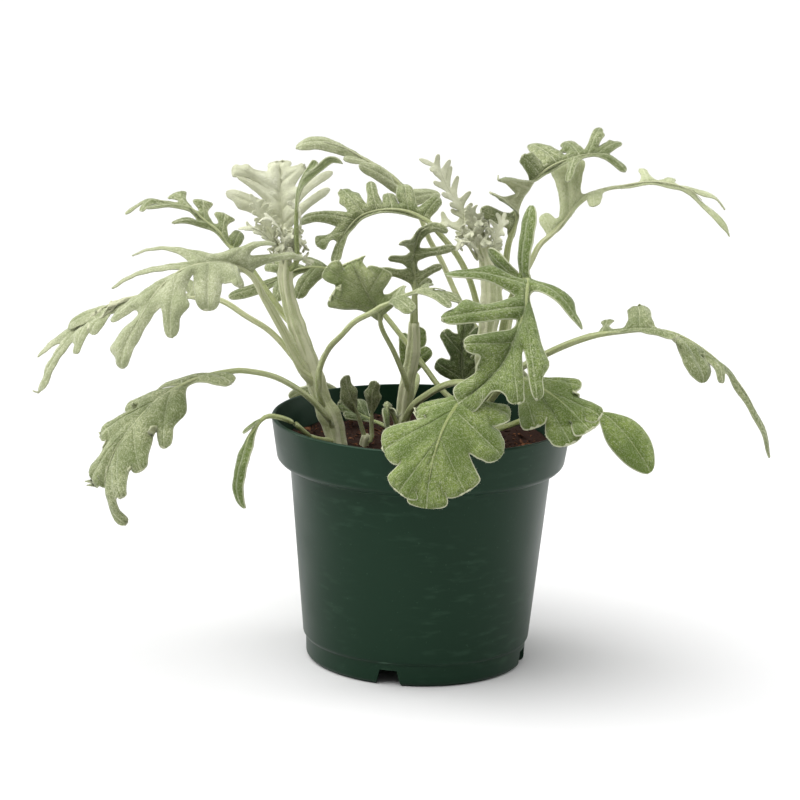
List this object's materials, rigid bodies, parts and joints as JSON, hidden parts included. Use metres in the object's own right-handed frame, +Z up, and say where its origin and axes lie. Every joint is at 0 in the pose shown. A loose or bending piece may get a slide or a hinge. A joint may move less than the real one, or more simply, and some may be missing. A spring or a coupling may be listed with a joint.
{
  "type": "potted plant",
  "caption": "Young dusty miller with felted, deeply lobed silver-green leaves on upright stems in a round plastic nursery pot.",
  "frame": {"origin": "on the pot's axis, in the plane of the underside that the pot stands on", "axes": "+Z up along the pot's axis, -Y towards the front of the plant, +X to its right seen from the front"},
  "size_m": [0.2816, 0.1754, 0.2024],
  "materials": {
    "pot": "semi-matte dark green, injection moulded",
    "soil": "loose dark bark and peat",
    "stem": "pale green under fine white felt",
    "leaf_pale": "thick silvery felt",
    "leaf_grey": "grey-green under silvery felt",
    "leaf_green": "green with thin white felt and pale margin",
    "leaf_silver": "young, almost white felt",
    "leaf_fresh": "yellow-green with little felt and a white margin",
    "leaf_dark": "dark green with thin white felt"
  },
  "bodies": {
    "root": {"pot": "pot", "soil": "soil", "stem_left": "stem", "stem_middle": "stem", "stem_right": "stem", "stem_shoot": "stem", "leaf_left_front": "leaf_pale", "leaf_left_far": "leaf_pale", "leaf_left_low": "leaf_grey", "leaf_left_rim": "leaf_green", "leaf_left_curled": "leaf_grey", "leaf_left_back": "leaf_silver", "leaf_left_thin": "leaf_dark", "leaf_back_green": "leaf_grey", "leaf_middle_arch": "leaf_grey", "leaf_middle_fingers": "leaf_grey", "leaf_middle_arc": "leaf_grey", "leaf_middle_top": "leaf_pale", "leaf_middle_folded": "leaf_grey", "leaf_middle_behind": "leaf_green", "leaf_right_inner": "leaf_dark", "leaf_middle_low": "leaf_green", "leaf_inner_dark": "leaf_dark", "leaf_right_upright": "leaf_grey", "leaf_right_far": "leaf_pale", "leaf_right_front": "leaf_green", "leaf_right_arching": "leaf_grey", "leaf_right_rim": "leaf_fresh", "leaf_right_oval": "leaf_fresh", "leaf_front": "leaf_fresh", "leaf_shoot_left": "leaf_grey", "leaf_shoot_right": "leaf_grey", "leaf_rear_left": "leaf_green", "leaf_rear_middle": "leaf_green", "leaf_rear_right": "leaf_green"}
  },
  "joints": []
}
